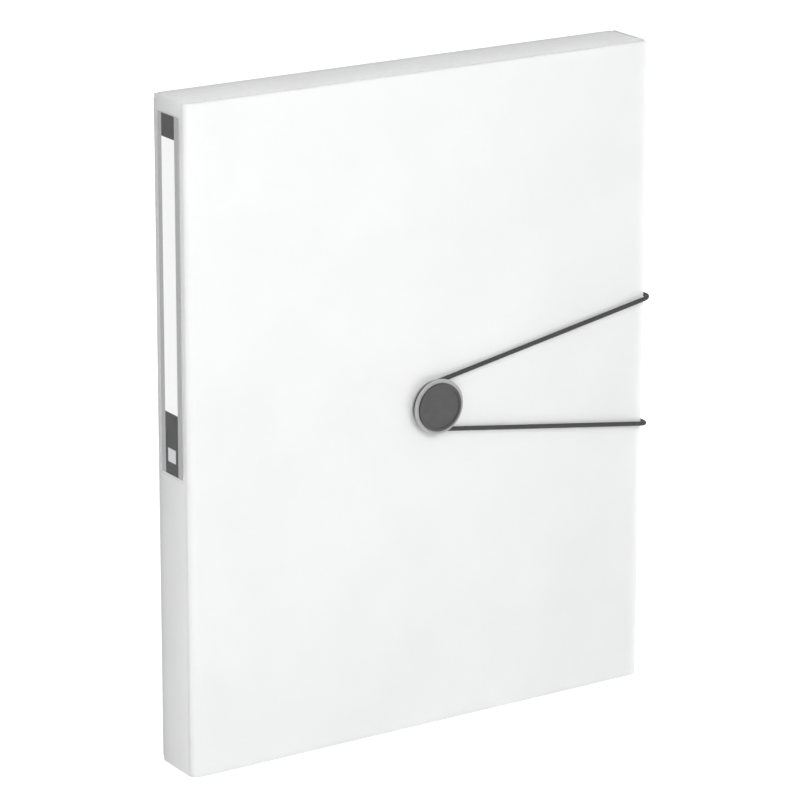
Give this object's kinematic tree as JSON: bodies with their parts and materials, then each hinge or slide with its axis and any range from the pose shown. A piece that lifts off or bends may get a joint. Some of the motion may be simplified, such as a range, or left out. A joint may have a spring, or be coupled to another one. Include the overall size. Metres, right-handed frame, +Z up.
{
  "type": "elastic closure box folder",
  "caption": "Upright box folder of frosted plastic sheet with a hinged front cover, an inner flap, a spine label pocket and an elastic cord hooked over a round button.",
  "frame": {"origin": "middle of the closed folder's footprint, on the surface that it stands on", "axes": "+Z up along the spine, +X from the spine towards the fore edge, +Y from the front cover towards the back"},
  "size_m": [0.2565, 0.0363, 0.32],
  "materials": {
    "frosted_sheet": "frosted translucent polypropylene sheet",
    "clear_film": "clear film",
    "label_paper": "white card with plain dark ends",
    "button_cap_plastic": "dark grey, satin",
    "button_spool_plastic": "light grey, satin",
    "washer_plastic": "smooth",
    "elastic_cord": "braided round elastic",
    "eyelet_metal": "nickel plated",
    "crimp_metal": "pressed"
  },
  "bodies": {
    "tray": {"back_panel": "frosted_sheet", "spine_panel": "frosted_sheet", "fore_edge_wall": "frosted_sheet", "bottom_wall": "frosted_sheet", "top_wall": "frosted_sheet", "back_bottom_crease": "frosted_sheet", "back_top_crease": "frosted_sheet", "back_spine_crease": "frosted_sheet", "back_fore_edge_crease": "frosted_sheet", "cover_crease": "frosted_sheet", "flap_crease": "frosted_sheet", "lower_eyelet": "eyelet_metal", "upper_eyelet": "eyelet_metal", "lower_cord_crimp": "crimp_metal", "upper_cord_crimp": "crimp_metal", "lower_elastic_anchor": "elastic_cord", "upper_elastic_anchor": "elastic_cord", "label_pocket": "clear_film"},
    "cover": {"front_cover": "frosted_sheet", "button_washer": "washer_plastic"},
    "button": {"button_cap": "button_cap_plastic", "button_spool": "button_spool_plastic"},
    "inner_flap": {"fore_edge_flap": "frosted_sheet"},
    "elastic": {"elastic_loop": "elastic_cord"},
    "label": {"label_card": "label_paper"}
  },
  "joints": [
    {"name": "cover_hinge", "type": "hinge", "parent": "tray", "child": "cover", "pos_m": [-0.1249, -0.0139, 0.16], "axis": [0, 0, -1], "range_deg": [0, 180], "deforming": ["cover_crease"]},
    {"name": "flap_hinge", "type": "hinge", "parent": "tray", "child": "inner_flap", "pos_m": [0.1254, -0.0133, 0.16], "axis": [0, 0, 1], "range_deg": [0, 80], "deforming": ["flap_crease"]},
    {"name": "elastic_unhook", "type": "hinge", "parent": "tray", "child": "elastic", "pos_m": [0.125, -0.0136, 0.16], "axis": [0, 0, 1], "range_deg": [0, 90], "deforming": ["elastic_loop"]},
    {"name": "button_spin", "type": "hinge", "parent": "cover", "child": "button", "pos_m": [0.006, -0.018, 0.16], "axis": [0, -1, 0], "continuous": true},
    {"name": "label_slide", "type": "slide", "parent": "tray", "child": "label", "axis": [0, 0, 1], "range_m": [0, 0.17]}
  ],
  "couplings": [
    {"joint": "elastic_unhook", "follows": "cover_hinge", "ratio": 0.5},
    {"joint": "flap_hinge", "follows": "cover_hinge", "ratio": 0.4444}
  ]
}
